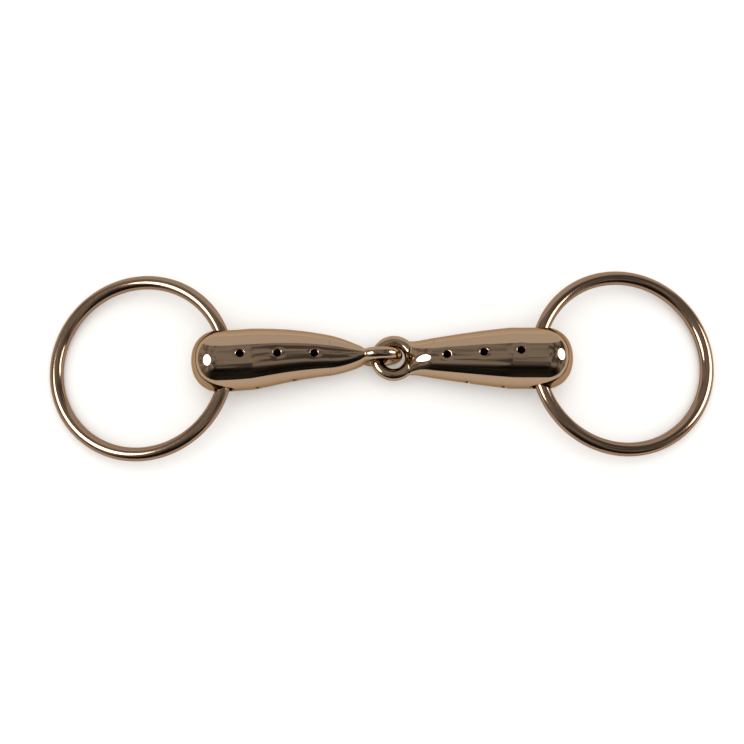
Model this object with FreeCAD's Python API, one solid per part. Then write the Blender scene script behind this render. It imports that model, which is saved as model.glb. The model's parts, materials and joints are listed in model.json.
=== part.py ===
"""Loose-ring snaffle bit with a single-jointed, hollow, perforated mouthpiece, lying on a flat surface.

Row frame: +X runs along the mouthpiece, +Y is the cheekpiece side, +Z is up, and the surface it lies on is z = 0.
Each mouthpiece half is built in a frame of its own: the origin is where the ring hole's axis crosses the barrel's
axis, +x runs inwards to the joint eye, y is the ring hole's axis and z is up.
"""

import FreeCAD
import Part
import math
import os

Vector = FreeCAD.Vector

# Sizes, in millimetres
MOUTH_WIDTH = 129.0  # ring-hole axis to ring-hole axis, with the mouthpiece pulled straight
REACH_DIFFERENCE = 3.8  # the left half is this much longer than the right one
RING_OUTER_DIA = 76.0
RING_WIRE_DIA = 5.5
RING_CLEARANCE = 0.16  # between the ring's wire and the hole it runs through, where it is tightest
RING_HOLE_MOUTH = 1.1  # how far the hole's mouth flares, each side
BARREL_DIA = 24.4
BARREL_PARALLEL = 11.0  # from the ring hole's axis inwards, before the taper starts
BARREL_END = 13.0  # from the ring hole's axis outwards, to the tip of the domed end
END_CROWN_RADIUS = 16.0
END_CORNER_RADIUS = 10.5
SHELL_LENGTH = 42.0  # from the ring hole's axis to the seam with the joint eye
SHELL_END_DIA = 16.2
TAPER_POWER = 1.2  # just over 1, so that the taper leaves the parallel part gently
WALL = 1.8
AIR_HOLE_DIA = 2.8
AIR_HOLE_MOUTH = 0.6
AIR_HOLE_PITCH = 14.5
SIDE_ROW_LAG = 6.4  # the side rows start this much further in than the top and bottom rows
EYE_BAR_DIA = 4.8
EYE_HOLE_DIA = 8.8
NECK_THICKNESS = 6.8
NECK_POWER = 2.2  # how late the barrel's taper gives way to the flattened neck
NECK_OVERLAP = 0.4  # how far the neck runs into the eye's bar, as a share of the bar's radius
NECK_INSET = 0.12  # how far inside the eye's outline the neck's end stays, each side
NECK_SHOULDER_POWER = 24.0  # how sharply the neck's end rounds off into the bar
NECK_END_SHARE = 0.8  # half the neck's thickness where it ends inside the bar, as a share of the bar's radius
SPIGOT_LENGTH = 2.2
SPIGOT_CLEARANCE = 0.25
LINER_WALL = 0.8
LINER_CLEARANCE = 0.05  # radial, between the liner and the bosses that it turns in
LINER_END_CLEARANCE = 0.15
BOSS_WALL = 1.2
BOSS_DEPTH = 2.8  # how far each boss grips the liner
LIP_THICKNESS = 1.9  # what is left of the barrel outside the liner's rim
EYE_PLAY = 0.45  # gap between the right eye's bar and the edge of the left eye's hole that it hangs against
EYE_HANG_DEG = 45.0  # where on that edge: from straight down, round towards the left half
EYE_SIDE_STEP = 0.5  # the left eye lies this much further towards the cheekpiece side

# What differs between the two halves: first air hole, sideways bow of the barrel, skew of the top row, yaw at rest
LEFT = {"first_hole": 6.7, "bow": 1.4, "row_skew_deg": 0.0, "yaw_deg": 2.5}
RIGHT = {"first_hole": 7.8, "bow": -0.1, "row_skew_deg": 2.0, "yaw_deg": 1.0}

# Sizes that follow from those
barrel_radius = BARREL_DIA / 2
shell_end_radius = SHELL_END_DIA / 2
wire_radius = RING_WIRE_DIA / 2
ring_radius = RING_OUTER_DIA / 2 - wire_radius  # to the middle of the wire
eye_bar_radius = EYE_BAR_DIA / 2
eye_hole_radius = EYE_HOLE_DIA / 2
eye_radius = eye_hole_radius + eye_bar_radius  # to the middle of the bar
eye_outer_radius = eye_radius + eye_bar_radius
neck_end_gap = eye_hole_radius + eye_bar_radius * (1 - NECK_OVERLAP)  # from the eye's centre to the neck's end
neck_half_width = math.sqrt(eye_outer_radius**2 - neck_end_gap**2) - NECK_INSET  # in the plane of the eye
reach_sum = MOUTH_WIDTH - EYE_HOLE_DIA
LEFT["reach"] = (reach_sum + REACH_DIFFERENCE) / 2
RIGHT["reach"] = (reach_sum - REACH_DIFFERENCE) / 2
# The curved wire bows inside the straight hole: half of that bow goes to each side of the hole's axis
wire_bow = ring_radius - math.sqrt(ring_radius**2 - barrel_radius**2)
ring_offset = wire_bow / 2
liner_inner_radius = wire_radius + ring_offset + RING_CLEARANCE
liner_outer_radius = liner_inner_radius + LINER_WALL
liner_rim_depth = math.sqrt(barrel_radius**2 - liner_outer_radius**2)  # the barrel's surface over the liner's rim
liner_half_length = liner_rim_depth - LIP_THICKNESS - LINER_END_CLEARANCE
ring_far_reach = 2 * ring_radius - ring_offset  # hole axis to the middle of the wire on the ring's far side
TINY = 1e-3
SECTIONS = 9
NECK_SECTIONS = 15


def taper_radius(s):
    """Radius of the outside at s along the axis: parallel, then a taper that runs straight on past the seam."""
    t = (s - BARREL_PARALLEL) / (SHELL_LENGTH - BARREL_PARALLEL)
    drop = barrel_radius - shell_end_radius
    if t <= 0:
        return barrel_radius
    if t <= 1:
        return barrel_radius - drop * t**TAPER_POWER
    return shell_end_radius - drop * TAPER_POWER * (t - 1)


def bow_at(half, s):
    """How far the barrel's middle line stands to the side at s."""
    return half["bow"] * math.sin(math.pi * s / half["reach"]) ** 2


def oval(x, y, across_y, across_z):
    """A closed oval wire square to the x axis, with its middle at (x, y, 0)."""
    centre = Vector(x, y, 0)
    if abs(across_y - across_z) < TINY:
        circle = Part.Circle(centre, Vector(1, 0, 0), across_y).toShape()
        circle.rotate(centre, Vector(1, 0, 0), 45)  # keeps the seam off the plane that parts the pressings
        return Part.Wire(circle)
    long_axis, short_axis = Vector(0, across_y, 0), Vector(0, 0, across_z)
    if across_z > across_y:
        long_axis, short_axis = short_axis, long_axis
    return Part.Wire(Part.Ellipse(centre + long_axis, centre + short_axis, centre).toShape())


def dome(inset):
    """The domed end as a solid of revolution, from its tip to the ring hole's axis, inset by a wall."""
    radius = barrel_radius - inset
    crown = END_CROWN_RADIUS - inset
    corner = min(END_CORNER_RADIUS - inset, radius - TINY)
    tip_x = inset - BARREL_END
    crown_x = tip_x + crown
    corner_y = radius - corner
    corner_x = crown_x - math.sqrt((crown - corner) ** 2 - corner_y**2)
    lean = math.atan2(corner_y, corner_x - crown_x)  # direction from the crown's centre through the corner's
    meet = Vector(crown_x + crown * math.cos(lean), crown * math.sin(lean), 0)
    half_lean = (math.pi + lean) / 2
    crown_mid = Vector(crown_x + crown * math.cos(half_lean), crown * math.sin(half_lean), 0)
    corner_lean = (lean + math.pi / 2) / 2
    corner_mid = Vector(corner_x + corner * math.cos(corner_lean), corner_y + corner * math.sin(corner_lean), 0)
    shoulder = Vector(corner_x, radius, 0)
    edges = [
        Part.Arc(Vector(tip_x, 0, 0), crown_mid, meet).toShape(),
        Part.Arc(meet, corner_mid, shoulder).toShape(),
        Part.makeLine(shoulder, Vector(0, radius, 0)),
        Part.makeLine(Vector(0, radius, 0), Vector(0, 0, 0)),
        Part.makeLine(Vector(0, 0, 0), Vector(tip_x, 0, 0)),
    ]
    return Part.Face(Part.Wire(edges)).revolve(Vector(0, 0, 0), Vector(1, 0, 0), 360)


def barrel(half, inset):
    """The barrel from its domed end to the seam, as a closed solid inset by a wall."""
    wires = []
    for i in range(SECTIONS):
        s = SHELL_LENGTH * i / (SECTIONS - 1)
        radius = taper_radius(s) - inset
        wires.append(oval(s, bow_at(half, s), radius, radius))
    return dome(inset).fuse(Part.makeLoft(wires, True, False))


def y_cylinder(radius, low, high):
    return Part.makeCylinder(radius, high - low, Vector(0, low, 0), Vector(0, 1, 0))


def flared_drill(radius, depth, mouth, surface, direction):
    """A drill with a flared mouth, along a direction from the barrel's axis, whose surface is that far out."""
    plain = Part.makeCylinder(radius, surface + barrel_radius, direction * (surface - depth), direction)
    flare = Part.makeCone(radius, radius + 2 * mouth, 2 * mouth, direction * (surface - mouth), direction)
    return plain.fuse(flare)


def air_hole_drills(half):
    """Four rows round the barrel: three holes at the top and the bottom, two staggered holes at each side."""
    drills = []
    skew = math.tan(math.radians(half["row_skew_deg"]))
    middle = half["first_hole"] + AIR_HOLE_PITCH
    for direction, count, first in (
        (Vector(0, 0, 1), 3, half["first_hole"]),
        (Vector(0, 0, -1), 3, half["first_hole"]),
        (Vector(0, 1, 0), 2, half["first_hole"] + SIDE_ROW_LAG),
        (Vector(0, -1, 0), 2, half["first_hole"] + SIDE_ROW_LAG),
    ):
        for i in range(count):
            s = first + i * AIR_HOLE_PITCH
            side = skew * (s - middle) if count == 3 else bow_at(half, s)
            drill = flared_drill(AIR_HOLE_DIA / 2, 2 * WALL, AIR_HOLE_MOUTH, taper_radius(s), direction)
            drill.translate(Vector(s, side, 0))
            drills.append(drill)
    return drills


def shell(half):
    """The hollow barrel with its bosses, ring hole and air holes, before it is parted into two pressings."""
    outside = barrel(half, 0)
    boss_radius = liner_outer_radius + LINER_CLEARANCE + BOSS_WALL
    boss_start = liner_half_length - BOSS_DEPTH
    bosses = [
        y_cylinder(boss_radius, boss_start, barrel_radius).common(outside),
        y_cylinder(boss_radius, -barrel_radius, -boss_start).common(outside),
    ]
    body = outside.cut(barrel(half, WALL)).fuse(bosses)
    pocket_end = liner_half_length + LINER_END_CLEARANCE
    cuts = [
        y_cylinder(liner_outer_radius + LINER_CLEARANCE, -pocket_end, pocket_end),
        flared_drill(liner_inner_radius, barrel_radius, RING_HOLE_MOUTH, barrel_radius, Vector(0, 1, 0)),
        flared_drill(liner_inner_radius, barrel_radius, RING_HOLE_MOUTH, barrel_radius, Vector(0, -1, 0)),
    ]
    return body.cut(cuts + air_hole_drills(half))


def half_space(side):
    """A block that holds everything on one side of the plane y = 0."""
    size = 4 * (MOUTH_WIDTH + BARREL_DIA)
    low = 0 if side > 0 else -size
    return Part.makeBox(size, size, size, Vector(-size / 2, low, -size / 2))


def joint_eye(half, eye_upright):
    """The solid inner end: a spigot in the shell, a neck that flattens, and the eye. An upright eye's hole runs along y."""
    reach = half["reach"]
    neck_end = reach - neck_end_gap
    wires = []
    for i in range(NECK_SECTIONS):
        t = 1 - (1 - i / (NECK_SECTIONS - 1)) ** 2  # closer together towards the eye, where the neck rounds off
        s = SHELL_LENGTH + (neck_end - SHELL_LENGTH) * t
        flattened = t**NECK_POWER
        radius = taper_radius(s)
        wide = radius + (neck_half_width - radius) * flattened
        thick = radius + (NECK_THICKNESS / 2 - radius) * flattened
        thick -= (thick - eye_bar_radius * NECK_END_SHARE) * t**NECK_SHOULDER_POWER
        across = (thick, wide) if eye_upright else (wide, thick)
        wires.append(oval(s, bow_at(half, s), *across))
    neck = Part.makeLoft(wires, True, False)
    hole_axis = Vector(0, 1, 0) if eye_upright else Vector(0, 0, 1)
    eye = Part.makeTorus(eye_radius, eye_bar_radius, Vector(reach, 0, 0), hole_axis)
    spigot_radius = shell_end_radius - WALL - SPIGOT_CLEARANCE
    spigot_base = Vector(SHELL_LENGTH - SPIGOT_LENGTH, bow_at(half, SHELL_LENGTH), 0)
    spigot = Part.makeCylinder(spigot_radius, SPIGOT_LENGTH + 1, spigot_base, Vector(1, 0, 0))
    return neck.fuse([eye, spigot]).removeSplitter()


def ring_liner():
    """The tube across the barrel in which the ring runs; it turns in the shell's bosses."""
    tube = y_cylinder(liner_outer_radius, -liner_half_length, liner_half_length)
    return tube.cut(y_cylinder(liner_inner_radius, -liner_half_length, liner_half_length))


def loose_ring():
    """The round-wire ring, in line with the barrel: its middle lies outwards along -x."""
    return Part.makeTorus(ring_radius, wire_radius, Vector(ring_offset - ring_radius, 0, 0), Vector(0, 0, 1))


def resting_pitch(held_at, height):
    """The tilt, in radians, at which a half rests on its barrel with the point held_at along its axis at a height."""
    low, high = 0.0, math.radians(20)
    stations = [SHELL_LENGTH * i / 200 for i in range(201)]
    while high - low > 1e-7:
        pitch = (low + high) / 2
        hole_height = height + held_at * math.sin(pitch)
        lowest = min(hole_height - s * math.sin(pitch) - taper_radius(s) * math.cos(pitch) for s in stations)
        low, high = (pitch, high) if lowest < 0 else (low, pitch)
    return high


def lay_down(half, inwards, held_at, point):
    """Adds to a half where it lies, resting on its barrel and held by a point of its axis, and how its ring lies."""
    pitch = resting_pitch(held_at, point.z)
    heading = half["yaw_deg"] if inwards > 0 else 180 - half["yaw_deg"]
    turn = FreeCAD.Rotation(Vector(0, 0, 1), heading).multiply(
        FreeCAD.Rotation(Vector(0, 1, 0), math.degrees(pitch))
    )
    hole_centre = point - turn.multVec(Vector(held_at, 0, 0))
    droop = math.asin((hole_centre.z - wire_radius) / ring_far_reach)
    half["placement"] = FreeCAD.Placement(hole_centre, turn)
    half["ring_tilt_deg"] = -math.degrees(pitch + droop)  # from in line with the barrel, about the half's own +y


def ring_placement(half):
    """Where the ring and its liner lie: as the half does, but turned down to the surface about the hole's axis."""
    swing = FreeCAD.Placement(Vector(0, 0, 0), FreeCAD.Rotation(Vector(0, 1, 0), half["ring_tilt_deg"]))
    return half["placement"].multiply(swing)


def ring_span(half, axis):
    """Lowest and highest reach of a ring along a row axis."""
    placement = ring_placement(half)
    centre = placement.multVec(Vector(ring_offset - ring_radius, 0, 0))
    normal = placement.Rotation.multVec(Vector(0, 0, 1))
    spread = ring_radius * math.sqrt(1 - normal.dot(axis) ** 2) + wire_radius
    return centre.dot(axis) - spread, centre.dot(axis) + spread


# The upright left eye stands on the surface, and the flat right eye's bar hangs in its hole
left_eye_centre = Vector(0, EYE_SIDE_STEP, eye_outer_radius)
eye_hang = eye_hole_radius - eye_bar_radius - EYE_PLAY
hang_angle = math.radians(EYE_HANG_DEG)
right_bar_centre = Vector(-eye_hang * math.sin(hang_angle), 0, eye_outer_radius - eye_hang * math.cos(hang_angle))
lay_down(LEFT, 1, LEFT["reach"], left_eye_centre)
lay_down(RIGHT, -1, RIGHT["reach"] + eye_radius, right_bar_centre)

# The origin goes to the middle of the two rings' outermost points, on the surface
centring = Vector(0, 0, 0)
for row_axis in (Vector(1, 0, 0), Vector(0, 1, 0)):
    spans = [ring_span(half, row_axis) for half in (LEFT, RIGHT)]
    middle = (min(s[0] for s in spans) + max(s[1] for s in spans)) / 2
    centring -= row_axis * middle
for half in (LEFT, RIGHT):
    half["placement"].Base += centring
# The fold turns about the flat eye's bar, where it passes through the upright eye
fold_centre = right_bar_centre + centring


def write(name, solid, placement):
    solid = solid.copy()
    solid.Placement = placement.multiply(solid.Placement)
    solid.exportStep(os.path.join("parts", name + ".step"))
    print(f"{name}: {len(solid.Solids)} solid, {solid.Volume:.1f} mm3, valid {solid.isValid()}")


os.makedirs("parts", exist_ok=True)
for name, half, cheek_side, eye_upright in (("left", LEFT, 1, True), ("right", RIGHT, -1, False)):
    body = shell(half)
    write(name + "_cheek_side_shell", body.common(half_space(cheek_side)), half["placement"])
    write(name + "_rein_side_shell", body.common(half_space(-cheek_side)), half["placement"])
    write(name + "_joint_eye", joint_eye(half, eye_upright), half["placement"])
    write(name + "_ring_liner", ring_liner(), ring_placement(half))
    write(name + "_ring", loose_ring(), ring_placement(half))
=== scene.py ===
"""Looks of the loose-ring snaffle bit: a single-jointed, hollow, perforated mouthpiece on two round rings.

Everything is in metres, in the part's frame: +X runs along the mouthpiece, +Y is the cheekpiece side, and
+Z is up. Each half of the mouthpiece is modelled in a frame of its own and then laid in its place. There, the
origin is where the ring hole crosses the barrel's axis, x runs inwards to the joint, y runs along the ring
hole, and z is up.
"""

import json
import math

import bpy
from mathutils import Matrix, Vector


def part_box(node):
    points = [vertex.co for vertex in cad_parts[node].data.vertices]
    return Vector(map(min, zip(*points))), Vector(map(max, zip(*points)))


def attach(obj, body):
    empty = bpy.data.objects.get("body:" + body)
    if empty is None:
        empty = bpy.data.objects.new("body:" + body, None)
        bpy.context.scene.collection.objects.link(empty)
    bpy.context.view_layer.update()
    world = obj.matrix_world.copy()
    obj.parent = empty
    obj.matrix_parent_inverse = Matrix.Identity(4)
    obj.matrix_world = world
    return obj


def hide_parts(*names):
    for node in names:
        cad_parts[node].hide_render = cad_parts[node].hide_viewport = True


MM = 0.001
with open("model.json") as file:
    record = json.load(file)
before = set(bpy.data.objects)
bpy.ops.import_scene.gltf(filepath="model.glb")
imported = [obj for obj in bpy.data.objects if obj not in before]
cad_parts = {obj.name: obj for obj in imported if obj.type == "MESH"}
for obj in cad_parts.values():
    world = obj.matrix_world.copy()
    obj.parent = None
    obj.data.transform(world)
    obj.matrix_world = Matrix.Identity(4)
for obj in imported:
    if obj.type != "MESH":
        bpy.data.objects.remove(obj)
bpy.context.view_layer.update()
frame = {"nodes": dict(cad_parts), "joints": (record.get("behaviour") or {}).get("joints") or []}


# ---------------------------------------------------------------- ring liners
# A drawn tube of the same copper-coloured alloy, set across the inside of each barrel before it is closed.
# The ring runs through it. Its drawn finish is duller than the polished outside, and only its rims show.

LINER_COLOUR = "#8A6549"
LINER_SMOOTHEST = 0.26
LINER_ROUGHEST = 0.42
DRAW_LINE_MM = 0.25
DRAW_LENGTH_MM = 12.5
DRAW_DEPTH_MM = 0.02


def linear(hex_colour):
    """A #RRGGBB sRGB colour as linear red, green, blue and a full alpha."""
    channels = []
    for i in (1, 3, 5):
        value = int(hex_colour[i : i + 2], 16) / 255
        channels.append(value / 12.92 if value <= 0.04045 else ((value + 0.055) / 1.055) ** 2.4)
    return (*channels, 1.0)


def add_node(tree, kind, inputs=None, **settings):
    """Adds a node, sets its settings, and sets each input to a value or links it to another node's output."""
    node = tree.nodes.new(kind)
    for name, value in settings.items():
        setattr(node, name, value)
    for name, value in (inputs or {}).items():
        if isinstance(value, bpy.types.NodeSocket):
            tree.links.new(value, node.inputs[name])
        else:
            node.inputs[name].default_value = value
    return node


def new_material(name):
    material = bpy.data.materials.new(name)
    material.use_nodes = True
    material.node_tree.nodes.clear()
    return material, material.node_tree


def drawn_alloy():
    """Drawn copper-coloured alloy tube: fine lines along the way it was drawn, and a soft sheen."""
    material, tree = new_material("drawn_copper_alloy")
    place = add_node(tree, "ShaderNodeTexCoord").outputs["Object"]
    across = 1 / (DRAW_LINE_MM * MM)
    lengthways = 1 / (DRAW_LENGTH_MM * MM)
    line_place = add_node(
        tree, "ShaderNodeMapping", {"Vector": place, "Scale": (across, lengthways, across)}
    ).outputs["Vector"]
    lines = add_node(
        tree, "ShaderNodeTexNoise", {"Vector": line_place, "Scale": 1.0, "Detail": 2.0}
    ).outputs["Fac"]
    rough = add_node(
        tree, "ShaderNodeMapRange", {"Value": lines, "To Min": LINER_SMOOTHEST, "To Max": LINER_ROUGHEST}
    ).outputs["Result"]
    bump = add_node(
        tree, "ShaderNodeBump", {"Height": lines, "Strength": 0.15, "Distance": DRAW_DEPTH_MM * MM}
    )
    shader = add_node(
        tree, "ShaderNodeBsdfPrincipled",
        {
            "Base Color": linear(LINER_COLOUR), "Metallic": 1.0, "Roughness": rough,
            "Normal": bump.outputs["Normal"],
        },
    )
    add_node(tree, "ShaderNodeOutputMaterial", {"Surface": shader.outputs["BSDF"]})
    return material


liner_finish = drawn_alloy()
for side in ("left", "right"):
    liner = frame["nodes"][side + "_ring_liner"]
    liner.data.materials.clear()
    liner.data.materials.append(liner_finish)


# ---------------------------------------------------------------- barrels
# Each half's hollow barrel is two pressings of thin alloy sheet, welded along both sides and polished until
# no seam shows, so it is one piece here. It has a domed outer end, a long taper to the joint, ten punched air
# holes with rolled-in lips, and a flared hole on each side for the ring.

BARREL_RADIUS = 12.2 * MM
END_REACH = 13.0 * MM
CROWN_RADIUS = 16.0 * MM
CORNER_RADIUS = 10.5 * MM
PARALLEL = 11.0 * MM
BARREL_LENGTH = 42.0 * MM
NARROW_RADIUS = 8.1 * MM
TAPER_POWER = 1.2
WALL = 1.8 * MM
ROUND_STEPS = 160
CROWN_STEPS = 12
CORNER_STEPS = 36
TAPER_STEPS = 72
WELD_DISTANCE = 0.002 * MM
AIR_HOLE_RADIUS = 1.4 * MM
AIR_HOLE_LIP = 0.75 * MM
AIR_HOLE_PITCH = 14.5 * MM
SIDE_ROW_LAG = 6.4 * MM
DIMPLE_REACH = 3.4 * MM
DIMPLE_DEPTH = 0.13 * MM
RING_HOLE_RADIUS = 4.0 * MM
RING_HOLE_LIP = 1.1 * MM
RING_HOLE_DEPTH = 0.8 * BARREL_RADIUS
LIP_TURN = math.radians(84)
LIP_STEPS = 8
FLANGE_LIPS = 4
CUTTER_STEPS = 48
EYE_OUTER_RADIUS = 9.2 * MM
HALVES = {
    "left": {"first_hole": 6.7 * MM, "bow": 1.4 * MM, "skew": 0.0, "reach": 62.0 * MM},
    "right": {"first_hole": 7.8 * MM, "bow": -0.1 * MM, "skew": math.radians(2.0), "reach": 58.2 * MM},
}
ALLOY_COLOUR = "#A0876F"
ALLOY_EDGE = "#D2BCA6"
ALLOY_ROUGHNESS = 0.035
SMEAR_MM = 9.0
SMEAR_ROUGHNESS = 0.05
SCRATCH_MM = 0.12
SCRATCH_LENGTH_MM = 1000 / 60
SCRATCH_DEPTH_MM = 0.004
SCRATCH_TURN = (0.2, 0.1, 0.35)
SMOOTH_ANGLE = math.radians(35)

joints = {joint["name"]: joint for joint in frame["joints"]}


def half_place(side):
    """Where a half lies: the matrix from its own frame to the part's."""
    swing = joints[side + "_ring_swing"]
    origin = Vector(swing["pos_m"])
    across = -Vector(swing["axis"])
    if side == "right":
        joint_point = Vector(joints["mouth_fold"]["pos_m"])
    else:
        low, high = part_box("left_joint_eye")
        joint_point = Vector((high.x - EYE_OUTER_RADIUS, 0, low.z + EYE_OUTER_RADIUS))
    along = joint_point - origin
    along = (along - across * along.dot(across)).normalized()
    up = along.cross(across)
    place = Matrix((along, across, up)).transposed().to_4x4()
    place.translation = origin
    return place


def bow_at(side, x):
    """How far a half's middle line curves aside at x, between its ring hole and the middle of its eye."""
    half = HALVES[side]
    return half["bow"] * math.sin(math.pi * max(x, 0) / half["reach"]) ** 2


def taper_radius(x):
    """The barrel's radius at x along its axis, which runs on past the barrel's end as a straight taper."""
    t = (x - PARALLEL) / (BARREL_LENGTH - PARALLEL)
    drop = BARREL_RADIUS - NARROW_RADIUS
    if t <= 0:
        return BARREL_RADIUS
    if t <= 1:
        return BARREL_RADIUS - drop * t**TAPER_POWER
    return NARROW_RADIUS - drop * TAPER_POWER * (t - 1)


def barrel_outline():
    """Points (x, radius) from the domed tip to the narrow end."""
    crown_x = CROWN_RADIUS - END_REACH
    corner_y = BARREL_RADIUS - CORNER_RADIUS
    corner_x = crown_x - math.sqrt((CROWN_RADIUS - CORNER_RADIUS) ** 2 - corner_y**2)
    meet = math.atan2(corner_y, crown_x - corner_x)
    points = [(-END_REACH, 0.0)]
    for i in range(1, CROWN_STEPS + 1):
        lean = meet * i / CROWN_STEPS
        points.append((crown_x - CROWN_RADIUS * math.cos(lean), CROWN_RADIUS * math.sin(lean)))
    for i in range(1, CORNER_STEPS + 1):
        lean = meet + (math.pi / 2 - meet) * i / CORNER_STEPS
        points.append((corner_x - CORNER_RADIUS * math.cos(lean), corner_y + CORNER_RADIUS * math.sin(lean)))
    for i in range(1, TAPER_STEPS + 1):
        x = corner_x + (BARREL_LENGTH - corner_x) * i / TAPER_STEPS
        points.append((x, taper_radius(x)))
    return points


def deselect_all():
    if bpy.context.object and bpy.context.object.mode != "OBJECT":
        bpy.ops.object.mode_set(mode="OBJECT")
    bpy.ops.object.select_all(action="DESELECT")


def spun(name, points, steps):
    """A shape turned about the x axis from a chain of points (x, radius), in edit mode as a lathe would."""
    deselect_all()
    bpy.ops.mesh.primitive_plane_add(size=MM, location=(0, 0, 0))
    piece = bpy.context.object
    piece.name = name
    bpy.ops.object.mode_set(mode="EDIT")
    bpy.ops.mesh.merge(type="CENTER")
    x, radius = points[0]
    bpy.ops.transform.translate(value=(x, radius, 0))
    for next_x, next_radius in points[1:]:
        step = (next_x - x, next_radius - radius, 0)
        bpy.ops.mesh.extrude_vertices_move(TRANSFORM_OT_translate={"value": step})
        x, radius = next_x, next_radius
    bpy.ops.mesh.select_all(action="SELECT")
    bpy.ops.mesh.spin(steps=steps, angle=2 * math.pi, center=(0, 0, 0), axis=(1, 0, 0))
    bpy.ops.mesh.select_all(action="SELECT")
    bpy.ops.mesh.remove_doubles(threshold=WELD_DISTANCE)
    bpy.ops.mesh.normals_make_consistent(inside=False)
    bpy.ops.object.mode_set(mode="OBJECT")
    return piece


def apply_modifier(piece, kind, **settings):
    deselect_all()
    piece.select_set(True)
    bpy.context.view_layer.objects.active = piece
    modifier = piece.modifiers.new(kind.lower(), kind)
    for name, value in settings.items():
        setattr(modifier, name, value)
    bpy.ops.object.modifier_apply(modifier=modifier.name)


def hole_cutter(name, radius, lip, depth):
    """A cutter whose wall flares out in nearly a quarter round, which gives its hole a rolled-in lip.

    It is turned about x, with the barrel's surface at x = 0 and the outside at positive x.
    """
    points = [(-depth, 0.0), (-depth, radius)]
    for i in range(LIP_STEPS + 1):
        lean = LIP_TURN * i / LIP_STEPS
        points.append((lip * (math.sin(lean) - 1), radius + lip * (1 - math.cos(lean))))
    end_x, end_radius = points[-1]
    points += [(end_x + lip, end_radius + FLANGE_LIPS * lip), (end_x + lip, 0.0)]
    return spun(name, points, CUTTER_STEPS)


def copies_at(cutter, spots):
    """Copies of a cutter, one at each spot, which is a matrix, joined into one object."""
    deselect_all()
    for spot in spots:
        copy = cutter.copy()
        copy.data = cutter.data.copy()
        copy.data.transform(spot)
        bpy.context.collection.objects.link(copy)
        copy.select_set(True)
        bpy.context.view_layer.objects.active = copy
    bpy.ops.object.join()
    return bpy.context.object


def facing(direction, surface, offset, slope=0.0):
    """The matrix that stands a cutter on the surface, in a direction across the barrel's axis.

    The slope is how much further out the surface is for each step inwards. The cutter stands square to it.
    """
    outwards = (direction - Vector((1, 0, 0)) * slope).normalized()
    turn = Vector((1, 0, 0)).rotation_difference(outwards).to_matrix().to_4x4()
    return Matrix.Translation(direction * surface + offset) @ turn


def surface_at(side, direction, x):
    """How far out the barrel's surface is at x in a direction across its axis, with the bow counted in."""
    return taper_radius(x) + direction.y * bow_at(side, x)


def air_hole_spots(side):
    """Three holes along the top and the bottom, and two staggered holes along each side."""
    half = HALVES[side]
    middle = half["first_hole"] + AIR_HOLE_PITCH
    spots = []
    for direction, count, first in (
        (Vector((0, 0, 1)), 3, half["first_hole"]),
        (Vector((0, 0, -1)), 3, half["first_hole"]),
        (Vector((0, 1, 0)), 2, half["first_hole"] + SIDE_ROW_LAG),
        (Vector((0, -1, 0)), 2, half["first_hole"] + SIDE_ROW_LAG),
    ):
        for i in range(count):
            x = first + i * AIR_HOLE_PITCH
            aside = math.tan(half["skew"]) * (x - middle) if count == 3 else bow_at(side, x)
            slope = (surface_at(side, direction, x + MM) - surface_at(side, direction, x - MM)) / (2 * MM)
            spots.append(facing(direction, taper_radius(x), Vector((x, aside, 0)), slope))
    return spots


def press_dimples(barrel, spots):
    """Pulls the sheet in a little round each air hole, as the punch does."""
    for vertex in barrel.data.vertices:
        for spot in spots:
            share = (vertex.co - spot.translation).length / DIMPLE_REACH
            if share < 1:
                inwards = spot.to_3x3() @ Vector((-1, 0, 0))
                vertex.co += inwards * DIMPLE_DEPTH * (1 - share**2) ** 2


def polished_alloy(name, colour, roughness):
    """Buffed copper-coloured alloy: a clean, warm brown mirror with faint smears and hairlines."""
    material, tree = new_material(name)
    place = add_node(tree, "ShaderNodeTexCoord").outputs["Object"]
    smears = add_node(
        tree, "ShaderNodeTexNoise",
        {"Vector": place, "Scale": 1 / (SMEAR_MM * MM), "Detail": 3.0, "Distortion": 0.6},
    ).outputs["Fac"]
    across = 1 / (SCRATCH_MM * MM)
    lengthways = 1 / (SCRATCH_LENGTH_MM * MM)
    hair_place = add_node(
        tree, "ShaderNodeMapping",
        {"Vector": place, "Rotation": SCRATCH_TURN, "Scale": (lengthways, across, across)},
    ).outputs["Vector"]
    hairlines = add_node(
        tree, "ShaderNodeTexNoise", {"Vector": hair_place, "Scale": 1.0, "Detail": 1.0}
    ).outputs["Fac"]
    rough = add_node(
        tree, "ShaderNodeMapRange",
        {
            "Value": smears, "From Min": 0.3, "From Max": 0.8,
            "To Min": roughness, "To Max": roughness + SMEAR_ROUGHNESS,
        },
    ).outputs["Result"]
    bump = add_node(
        tree, "ShaderNodeBump", {"Height": hairlines, "Strength": 0.05, "Distance": SCRATCH_DEPTH_MM * MM}
    )
    shader = add_node(
        tree, "ShaderNodeBsdfPrincipled",
        {
            "Base Color": linear(colour), "Metallic": 1.0, "Roughness": rough,
            "Specular Tint": linear(ALLOY_EDGE), "Normal": bump.outputs["Normal"],
        },
    )
    add_node(tree, "ShaderNodeOutputMaterial", {"Surface": shader.outputs["BSDF"]})
    return material


def finish_piece(piece, place, body, material, nodes):
    """Lays a piece in its place, finishes it, hangs it on the body it moves with, and hides the nodes it
    stands in for.
    """
    piece.data.transform(place)
    deselect_all()
    piece.select_set(True)
    bpy.context.view_layer.objects.active = piece
    bpy.ops.object.shade_smooth_by_angle(angle=SMOOTH_ANGLE)
    piece.data.materials.clear()
    piece.data.materials.append(material)
    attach(piece, body)
    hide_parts(*nodes)


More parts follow.
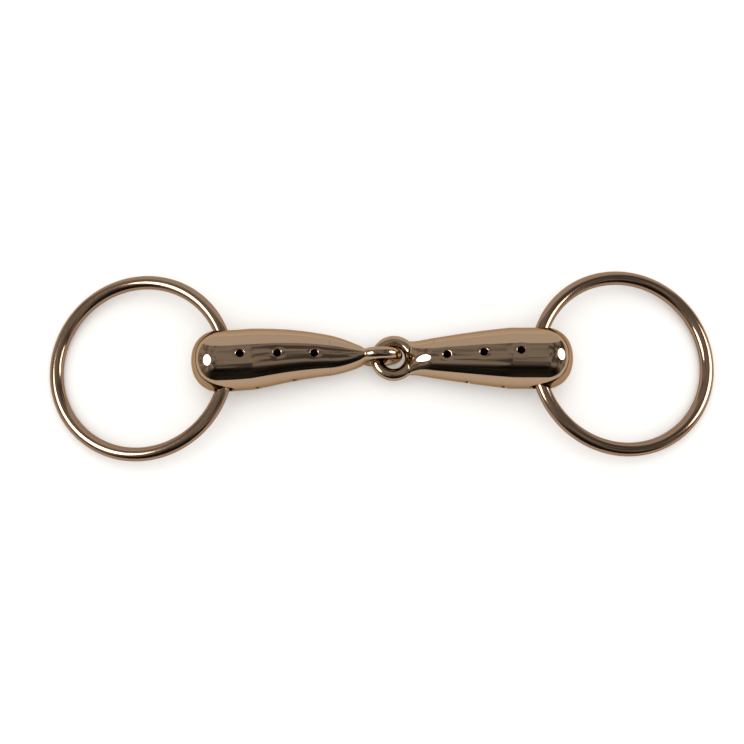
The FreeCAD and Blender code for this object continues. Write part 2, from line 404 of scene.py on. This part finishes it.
alloy_finish = polished_alloy("polished_copper_alloy", ALLOY_COLOUR, ALLOY_ROUGHNESS)
air_cutter = hole_cutter("air_cutter", AIR_HOLE_RADIUS, AIR_HOLE_LIP, 2 * WALL)
ring_cutter = hole_cutter("ring_cutter", RING_HOLE_RADIUS, RING_HOLE_LIP, RING_HOLE_DEPTH)
for side in HALVES:
    barrel = spun(side + "_barrel", barrel_outline(), ROUND_STEPS)
    for vertex in barrel.data.vertices:
        vertex.co.y += bow_at(side, vertex.co.x)
    press_dimples(barrel, air_hole_spots(side))
    apply_modifier(barrel, "SOLIDIFY", thickness=WALL, offset=-1)
    ring_hole_spots = [facing(Vector((0, sign, 0)), BARREL_RADIUS, Vector((0, 0, 0))) for sign in (1, -1)]
    air_cuts = copies_at(air_cutter, air_hole_spots(side))
    ring_cuts = copies_at(ring_cutter, ring_hole_spots)
    for cuts in (air_cuts, ring_cuts):
        apply_modifier(barrel, "BOOLEAN", operation="DIFFERENCE", solver="EXACT", object=cuts)
        bpy.data.objects.remove(cuts)
    shells = (side + "_cheek_side_shell", side + "_rein_side_shell")
    finish_piece(barrel, half_place(side), side + "_half", alloy_finish, shells)
for cutter in (air_cutter, ring_cutter):
    bpy.data.objects.remove(cutter)


# ---------------------------------------------------------------- joint eyes
# A solid forging of the same alloy closes each barrel's narrow end. Its neck flattens towards a round eye.
# The two eyes are linked: the left one stands upright and the right one lies flat, a quarter turn apart.

EYE_RADIUS = 6.8 * MM
EYE_BAR_RADIUS = 2.4 * MM
BAR_ALLOWANCE = 0.06 * MM
NECK_ALLOWANCE = 0.01 * MM
NECK_HALF_WIDTH = 6.99 * MM
NECK_HALF_THICKNESS = 3.4 * MM
NECK_END_GAP = 5.84 * MM
NECK_POWER = 2.2
NECK_SHOULDER_POWER = 24.0
NECK_END_SHARE = 0.8
NECK_START = BARREL_LENGTH - 2.0 * MM
NECK_STATIONS = 40
NECK_ROUND_STEPS = 96
EYE_ROUND_STEPS = 128
EYE_BAR_STEPS = 48
VOXEL = 0.2 * MM
SMOOTH_ROUNDS = 24


def neck_section(x, neck_end):
    """Half the neck's width and thickness at x, where the barrel's taper gives way to a flat section."""
    t = max(0.0, (x - BARREL_LENGTH) / (neck_end - BARREL_LENGTH))
    share = t**NECK_POWER
    line = taper_radius(x) + NECK_ALLOWANCE
    wide = line + (NECK_HALF_WIDTH - line) * share
    thick = line + (NECK_HALF_THICKNESS - line) * share
    return wide, thick - (thick - EYE_BAR_RADIUS * NECK_END_SHARE) * t**NECK_SHOULDER_POWER


def joint_eye(side, upright):
    """The neck and the eye run together into one skin, cut off square where the barrel ends."""
    reach = HALVES[side]["reach"]
    neck_end = reach - NECK_END_GAP
    nearness = [1 - (1 - i / NECK_STATIONS) ** 2 for i in range(NECK_STATIONS + 1)]
    stations = [NECK_START + (neck_end - NECK_START) * share for share in nearness]
    deselect_all()
    bpy.ops.mesh.primitive_circle_add(
        vertices=NECK_ROUND_STEPS, radius=taper_radius(NECK_START) + NECK_ALLOWANCE, fill_type="NGON",
        location=(NECK_START, bow_at(side, NECK_START), 0), rotation=(0, math.pi / 2, 0),
    )
    eye = bpy.context.object
    eye.name = side + "_eye"
    bpy.ops.object.transform_apply(location=True, rotation=True, scale=True)
    bpy.ops.object.mode_set(mode="EDIT")
    bpy.ops.mesh.select_all(action="SELECT")
    was_wide, was_thick = neck_section(NECK_START, neck_end)
    was_x, was_y = NECK_START, bow_at(side, NECK_START)
    for x in stations[1:]:
        wide, thick = neck_section(x, neck_end)
        y = bow_at(side, x)
        bpy.ops.mesh.extrude_region_move(TRANSFORM_OT_translate={"value": (x - was_x, y - was_y, 0)})
        widen, thicken = wide / was_wide, thick / was_thick
        scale = (1, thicken, widen) if upright else (1, widen, thicken)
        bpy.ops.transform.resize(value=scale, center_override=(x, y, 0))
        was_wide, was_thick, was_x, was_y = wide, thick, x, y
    bpy.ops.mesh.select_all(action="SELECT")
    bpy.ops.mesh.normals_make_consistent(inside=False)
    bpy.ops.object.mode_set(mode="OBJECT")
    bpy.ops.mesh.primitive_torus_add(
        major_segments=EYE_ROUND_STEPS, minor_segments=EYE_BAR_STEPS,
        major_radius=EYE_RADIUS, minor_radius=EYE_BAR_RADIUS + BAR_ALLOWANCE,
        location=(reach, 0, 0), rotation=(math.pi / 2 if upright else 0, 0, 0),
    )
    eye.select_set(True)
    bpy.context.view_layer.objects.active = eye
    bpy.ops.object.join()
    apply_modifier(eye, "REMESH", mode="VOXEL", voxel_size=VOXEL, adaptivity=0.0)
    apply_modifier(eye, "SMOOTH", factor=0.5, iterations=SMOOTH_ROUNDS)
    bpy.ops.object.mode_set(mode="EDIT")
    bpy.ops.mesh.select_all(action="SELECT")
    cut = (BARREL_LENGTH, 0, 0)
    bpy.ops.mesh.bisect(plane_co=cut, plane_no=(1, 0, 0), use_fill=True, clear_inner=True)
    bpy.ops.object.mode_set(mode="OBJECT")
    return eye


for side, upright in (("left", True), ("right", False)):
    eye = joint_eye(side, upright)
    finish_piece(eye, half_place(side), side + "_half", alloy_finish, [side + "_joint_eye"])


# ---------------------------------------------------------------- rings
# Drawn round wire of the same alloy, bent to a circle through the barrel and butt-welded, then ground and
# polished until the weld doesn't show.

RING_RADIUS = 35.25 * MM
WIRE_RADIUS = 2.75 * MM
RING_STEPS = 320
WIRE_STEPS = 64
WIRE_COLOUR = "#8E7561"
WIRE_ROUGHNESS = 0.10

wire_finish = polished_alloy("polished_alloy_wire", WIRE_COLOUR, WIRE_ROUGHNESS)
for side in HALVES:
    spin = joints[side + "_ring_spin"]
    turn = Vector((0, 0, 1)).rotation_difference(Vector(spin["axis"])).to_matrix().to_4x4()
    deselect_all()
    bpy.ops.mesh.primitive_torus_add(
        major_segments=RING_STEPS, minor_segments=WIRE_STEPS,
        major_radius=RING_RADIUS, minor_radius=WIRE_RADIUS,
    )
    ring = bpy.context.object
    ring.name = side + "_wire_ring"
    place = Matrix.Translation(Vector(spin["pos_m"])) @ turn
    finish_piece(ring, place, side + "_loose_ring", wire_finish, [side + "_ring"])


# ---------------------------------------------------------------- table, light and camera
# A plain pale table, lit evenly by a broad light overhead and by a fill from all round. The metal mirrors
# neither. It mirrors the table in its pale edges, a round softbox towards each end, and a dim room: dark in
# front, with soft uneven shapes overhead, some light to the left and a bright backdrop behind.

TABLE_SIZE = 6.0
TABLE_COLOUR = "#F3F1EE"
FILL = 1.2
OVERHEAD = {"location": (0, 0, 1.4), "size": (1.6, 1.6), "power": 4.5}
SOFTBOX_DISTANCE = 0.7
SOFTBOXES = {
    "left_softbox": {"end": -1, "elevation": 44.0, "aside": -0.10, "size": (0.42, 0.40), "power": 4.3},
    "right_softbox": {"end": 1, "elevation": 26.0, "aside": 0.10, "size": (0.38, 0.42), "power": 3.4},
}
# Brightness of the mirrored room: where a change starts, where it ends, and the value before and after it.
CEILING = (-0.75, -0.55, 0.03, 0.42)
BACKDROP = (0.68, 0.72, 0.0, 1.04)
CLUTTER = (0.40, 0.58, 0.28, 1.15)
LEFT_SPILL = (-0.35, -0.80, 0.0, 0.14)
CLUTTER_SCALE = 3.4
CAMERA_ELEVATION = math.radians(77.0)
CAMERA_DISTANCE = 0.526
CAMERA_LENS = 63.6
CAMERA_TARGET = Vector((-0.004, -0.0029, 0.008))

bpy.context.scene.view_settings.view_transform = "Standard"

deselect_all()
bpy.ops.mesh.primitive_plane_add(size=TABLE_SIZE, location=(0, 0, 0))
table = bpy.context.object
table.name = "table"
paper, paper_tree = new_material("matt_white_board")
paper_shader = add_node(
    paper_tree, "ShaderNodeBsdfPrincipled",
    {"Base Color": linear(TABLE_COLOUR), "Roughness": 0.9, "Specular IOR Level": 0.1},
)
add_node(paper_tree, "ShaderNodeOutputMaterial", {"Surface": paper_shader.outputs["BSDF"]})
table.data.materials.append(paper)


def area_light(name, location, size, power):
    """A round light that faces the origin."""
    light = bpy.data.lights.new(name, "AREA")
    light.shape = "ELLIPSE"
    light.size, light.size_y = size
    light.energy = power
    lamp = bpy.data.objects.new(name, light)
    lamp.location = location
    aim = Vector((0, 0, 0)) - Vector(location)
    lamp.rotation_euler = aim.to_track_quat("-Z", "Y").to_euler()
    bpy.context.collection.objects.link(lamp)
    return lamp


overhead = area_light("overhead", **OVERHEAD)
overhead.visible_glossy = False
for name, box in SOFTBOXES.items():
    lean = math.radians(box["elevation"])
    spot = Vector((box["end"] * math.cos(lean), box["aside"], math.sin(lean))) * SOFTBOX_DISTANCE
    softbox = area_light(name, spot, box["size"], box["power"])
    softbox.visible_diffuse = False

world = bpy.data.worlds.new("room")
bpy.context.scene.world = world
world.use_nodes = True
room = world.node_tree
room.nodes.clear()


def ramp(value, start, end, before, after):
    """A smooth change in the room's brightness."""
    return add_node(
        room, "ShaderNodeMapRange",
        {"Value": value, "From Min": start, "From Max": end, "To Min": before, "To Max": after},
        interpolation_type="SMOOTHSTEP",
    ).outputs["Result"]


def combined(operation, first, second):
    return add_node(room, "ShaderNodeMath", {0: first, 1: second}, operation=operation).outputs["Value"]


direction = add_node(room, "ShaderNodeTexCoord").outputs["Generated"]
axes = add_node(room, "ShaderNodeSeparateXYZ", {"Vector": direction})
noise = add_node(
    room, "ShaderNodeTexNoise",
    {"Vector": direction, "Scale": CLUTTER_SCALE, "Detail": 4.0, "Roughness": 0.6},
).outputs["Fac"]
walls = combined("MULTIPLY", ramp(axes.outputs["Y"], *CEILING), ramp(noise, *CLUTTER))
walls = combined("ADD", walls, ramp(axes.outputs["X"], *LEFT_SPILL))
mirrored = combined("MAXIMUM", walls, ramp(axes.outputs["Y"], *BACKDROP))
in_mirror = add_node(room, "ShaderNodeLightPath").outputs["Is Glossy Ray"]
glow = add_node(
    room, "ShaderNodeMix", {"Factor": in_mirror, "A": FILL, "B": mirrored}, data_type="FLOAT"
).outputs["Result"]
background = add_node(room, "ShaderNodeBackground", {"Color": (1, 1, 1, 1), "Strength": glow})
add_node(room, "ShaderNodeOutputWorld", {"Surface": background.outputs["Background"]})

camera_data = bpy.data.cameras.new("camera")
camera = bpy.data.objects.new("camera", camera_data)
bpy.context.collection.objects.link(camera)
camera_data.lens = CAMERA_LENS
view_from = Vector((0, -math.cos(CAMERA_ELEVATION), math.sin(CAMERA_ELEVATION)))
camera.location = CAMERA_TARGET + view_from * CAMERA_DISTANCE
camera.rotation_euler = (-view_from).to_track_quat("-Z", "Y").to_euler()
bpy.context.scene.camera = camera
